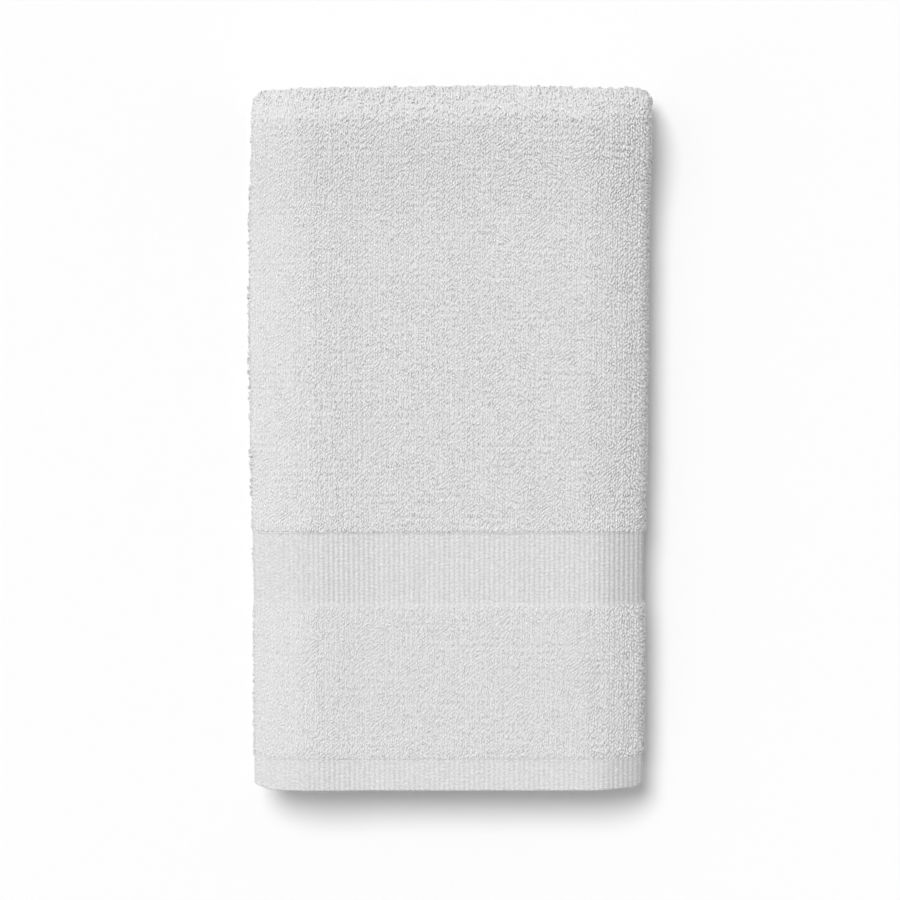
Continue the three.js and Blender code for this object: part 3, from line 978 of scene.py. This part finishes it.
# Plain weave seen between loops: rougher, and darker by painted shade where the loops stand on it, so the
# pile stands out from it.
ground_cotton = cotton(
    "ground_weave_cotton", darker="#dadada", lighter="#e4e4e4",
    grain_mm=1.0, grain_depth_mm=0.5, sheen=0.1, glow=0.3,
)
# Tight flat weave: crisp ribs with painted shade in their gaps and hardly any glow.
rib_cotton = cotton(
    "flat_rib_weave_cotton", darker="#c8c8c8", lighter="#e6e6e6",
    grain_mm=0.5, grain_depth_mm=0.35, sheen=0.1, glow=0.1,
)
# Twisted thread: smooth and bright, so a stitch shows as a small light dash.
thread_cotton = cotton(
    "sewing_thread_twisted_cotton", darker="#e6e6e6", lighter="#eeeeee",
    grain_mm=0.3, grain_depth_mm=0.05, sheen=0.1, glow=0.2,
)
for piece in pile:
    piece.data.materials.append(loop_cotton)
ground.data.materials.append(ground_cotton)
for piece in (border, far_border_sides, hem, far_hem_sides, selvedges):
    piece.data.materials.append(rib_cotton)
stitches.data.materials.append(thread_cotton)
print("finishes", [m.name for m in (loop_cotton, ground_cotton, rib_cotton, thread_cotton)])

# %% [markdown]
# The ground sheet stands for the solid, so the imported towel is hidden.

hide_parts("towel")

# %% [markdown]
# The towel lies on a plain sheet of white paper. A matt paper with little shine keeps the ground even, and
# it is wide enough that its edge is never in the picture.

# %% Floor
FLOOR_HALF = 8.0
FLOOR_DROP = 0.0003
floor_corners = [
    (side * FLOOR_HALF, end * FLOOR_HALF, -FLOOR_DROP) for side, end in ((-1, -1), (1, -1), (1, 1), (-1, 1))
]
floor_mesh = bpy.data.meshes.new("floor")
floor_mesh.from_pydata(floor_corners, [], [(0, 1, 2, 3)])
floor = bpy.data.objects.new("floor", floor_mesh)
bpy.context.scene.collection.objects.link(floor)
paper = bpy.data.materials.new("matt_white_paper")
paper.use_nodes = True
paper_shader = paper.node_tree.nodes["Principled BSDF"]
paper_shader.inputs["Base Color"].default_value = linear("#f6f6f6")
paper_shader.inputs["Roughness"].default_value = 0.9
paper_shader.inputs["Specular IOR Level"].default_value = 0.1
floor_mesh.materials.append(paper)
print("floor", 2 * FLOOR_HALF, "m wide")

# %% [markdown]
# Soft light comes from high up at the upper left, with even light from all round. A wide sun lamp is as
# even as a large softbox, and its width sets how soft the shadow is.

# %% Light
KEY_STRENGTH = 2.235
KEY_WIDTH = math.radians(28)
KEY_FROM = np.array([-0.26, 0.36, 0.89])
SKY_STRENGTH = 0.44
key = bpy.data.lights.new("key_softbox", "SUN")
key.energy = KEY_STRENGTH
key.angle = KEY_WIDTH
key_object = bpy.data.objects.new("key_softbox", key)
key_object.rotation_euler = (
    math.acos(KEY_FROM[2] / np.linalg.norm(KEY_FROM)), 0, math.atan2(KEY_FROM[0], -KEY_FROM[1]),
)
bpy.context.scene.collection.objects.link(key_object)
world = bpy.data.worlds.new("soft_room")
world.use_nodes = True
world.node_tree.nodes["Background"].inputs["Color"].default_value = linear("#fefefe")
world.node_tree.nodes["Background"].inputs["Strength"].default_value = SKY_STRENGTH
bpy.context.scene.world = world
bpy.context.scene.view_settings.view_transform = "Standard"
print("light from", KEY_FROM, "strength", KEY_STRENGTH, "sky", SKY_STRENGTH)

# %% [markdown]
# The picture is taken straight down, with the top fold up the page. The lens is long, so the sides of the
# bundle hardly show. Its length follows from how many millimetres one pixel covers at the top face.

# %% Camera
PIXELS = 900
PIXEL_MM = 0.3434
SENSOR_MM = 36.0
CAMERA_AWAY = 1.2
FARTHEST_SEEN = 20
VIEW_CENTRE = (0.0, -0.0043)
face_height = FULL_HEIGHT * MM
camera = bpy.data.cameras.new("camera")
camera.sensor_width = SENSOR_MM
camera.lens = SENSOR_MM * CAMERA_AWAY / (PIXELS * PIXEL_MM * MM)
camera.clip_end = FARTHEST_SEEN
camera_object = bpy.data.objects.new("camera", camera)
camera_object.location = (*VIEW_CENTRE, face_height + CAMERA_AWAY)
bpy.context.scene.collection.objects.link(camera_object)
bpy.context.scene.camera = camera_object
print("lens", round(camera.lens, 1), "mm")
